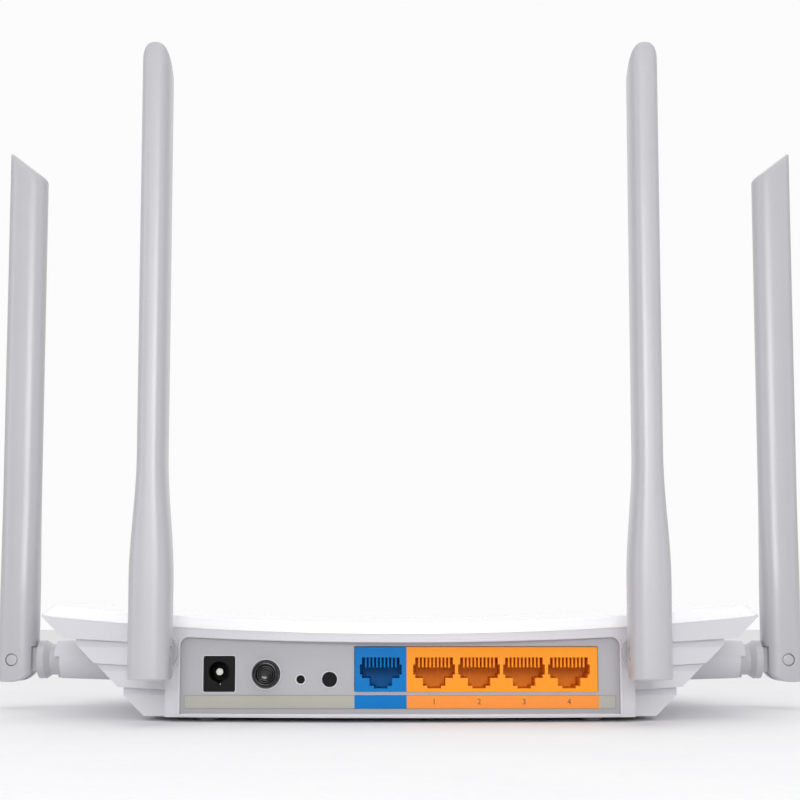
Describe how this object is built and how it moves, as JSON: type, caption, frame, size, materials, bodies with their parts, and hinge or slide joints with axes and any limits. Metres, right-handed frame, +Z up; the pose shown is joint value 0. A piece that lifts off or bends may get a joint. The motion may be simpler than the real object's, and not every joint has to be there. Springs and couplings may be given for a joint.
{
  "type": "wireless router",
  "caption": "Wireless router with a saddle-topped cover over a stepped case, rear network sockets and swivelling, tilting antennas.",
  "frame": {"origin": "below the middle of the whole object's box, on the plane of the feet", "axes": "+X to the right seen from the rear panel, +Y from the rear panel to the front edge, +Z up"},
  "size_m": [0.287, 0.1636, 0.2078],
  "materials": {
    "gloss_white": "gloss",
    "light_grey": "fine matt moulded",
    "printed_label": "printed satin film",
    "paper_label": "satin film",
    "foot_rubber": "matt",
    "zinc_steel": "zinc plated",
    "solder_mask": "solder mask",
    "socket_blue": "satin moulded",
    "gold_contact": "gold plated",
    "socket_orange": "satin moulded",
    "black_moulding": "satin moulded",
    "gloss_black": "gloss",
    "nickel_pin": "nickel plated",
    "chip_epoxy": "moulded epoxy",
    "sink_aluminium": "extruded",
    "tin_can": "tin plated",
    "capacitor_can": "drawn",
    "led_lens": "clear lens",
    "clear_acrylic": "polished",
    "cable_jacket": "satin"
  },
  "bodies": {
    "housing": {"top_cover": "gloss_white", "bottom_case": "light_grey", "port_label": "printed_label", "rating_label": "paper_label", "rubber_feet": "foot_rubber", "case_screws": "zinc_steel", "circuit_board": "solder_mask", "board_screws": "zinc_steel", "wan_socket": "socket_blue", "wan_contacts": "gold_contact", "lan_sockets": "socket_orange", "lan_contacts": "gold_contact", "dc_socket": "black_moulding", "dc_pin": "nickel_pin", "dc_spring": "nickel_pin", "power_switch": "black_moulding", "wps_switch": "black_moulding", "reset_switch": "black_moulding", "main_chip": "chip_epoxy", "heat_sink": "sink_aluminium", "radio_chips": "chip_epoxy", "shield_cans": "tin_can", "memory_chips": "chip_epoxy", "network_transformers": "chip_epoxy", "electrolytic_capacitors": "capacitor_can", "power_inductors": "chip_epoxy", "crystals": "tin_can", "status_leds": "led_lens", "light_guide": "clear_acrylic", "lead_connectors": "gold_contact", "antenna_leads": "cable_jacket"},
    "power_button": {"power_button": "gloss_black"},
    "wps_button": {"wps_button": "black_moulding"},
    "reset_button": {"reset_button": "black_moulding"},
    "side_left_swivel": {"side_left_knuckle": "light_grey", "side_left_pin": "light_grey"},
    "side_left_antenna": {"side_left_blade": "light_grey", "side_left_radiator": "solder_mask", "side_left_cable": "cable_jacket"},
    "rear_left_swivel": {"rear_left_knuckle": "light_grey", "rear_left_pin": "light_grey"},
    "rear_left_antenna": {"rear_left_blade": "light_grey", "rear_left_radiator": "solder_mask", "rear_left_cable": "cable_jacket"},
    "rear_right_swivel": {"rear_right_knuckle": "light_grey", "rear_right_pin": "light_grey"},
    "rear_right_antenna": {"rear_right_blade": "light_grey", "rear_right_radiator": "solder_mask", "rear_right_cable": "cable_jacket"},
    "side_right_swivel": {"side_right_knuckle": "light_grey", "side_right_pin": "light_grey"},
    "side_right_antenna": {"side_right_blade": "light_grey", "side_right_radiator": "solder_mask", "side_right_cable": "cable_jacket"}
  },
  "joints": [
    {"name": "side_left_swivel_turn", "type": "hinge", "parent": "housing", "child": "side_left_swivel", "pos_m": [-0.1378, 0.00985, 0.0174], "axis": [-1, 0, 0], "range_deg": [-90, 90]},
    {"name": "side_left_tilt", "type": "hinge", "parent": "side_left_swivel", "child": "side_left_antenna", "pos_m": [-0.1378, 0.00985, 0.0174], "axis": [0, -1, 0], "range_deg": [0, 90]},
    {"name": "rear_left_swivel_turn", "type": "hinge", "parent": "housing", "child": "rear_left_swivel", "pos_m": [-0.0746, -0.07615, 0.0216], "axis": [0, -1, 0], "range_deg": [-45, 90]},
    {"name": "rear_left_tilt", "type": "hinge", "parent": "rear_left_swivel", "child": "rear_left_antenna", "pos_m": [-0.0746, -0.07615, 0.0216], "axis": [1, 0, 0], "range_deg": [0, 90]},
    {"name": "rear_right_swivel_turn", "type": "hinge", "parent": "housing", "child": "rear_right_swivel", "pos_m": [0.0746, -0.07615, 0.0216], "axis": [0, -1, 0], "range_deg": [-90, 45]},
    {"name": "rear_right_tilt", "type": "hinge", "parent": "rear_right_swivel", "child": "rear_right_antenna", "pos_m": [0.0746, -0.07615, 0.0216], "axis": [1, 0, 0], "range_deg": [0, 90]},
    {"name": "side_right_swivel_turn", "type": "hinge", "parent": "housing", "child": "side_right_swivel", "pos_m": [0.1378, 0.00985, 0.0174], "axis": [1, 0, 0], "range_deg": [-90, 90]},
    {"name": "side_right_tilt", "type": "hinge", "parent": "side_right_swivel", "child": "side_right_antenna", "pos_m": [0.1378, 0.00985, 0.0174], "axis": [0, 1, 0], "range_deg": [0, 90]},
    {"name": "power_button_press", "type": "slide", "parent": "housing", "child": "power_button", "axis": [0, 1, 0], "range_m": [0, 0.002], "stiffness_N_per_m": 300, "springref_m": -0.001},
    {"name": "wps_button_press", "type": "slide", "parent": "housing", "child": "wps_button", "axis": [0, 1, 0], "range_m": [0, 0.0005], "stiffness_N_per_m": 400, "springref_m": -0.001},
    {"name": "reset_button_press", "type": "slide", "parent": "housing", "child": "reset_button", "axis": [0, 1, 0], "range_m": [0, 0.0005], "stiffness_N_per_m": 400, "springref_m": -0.001}
  ]
}
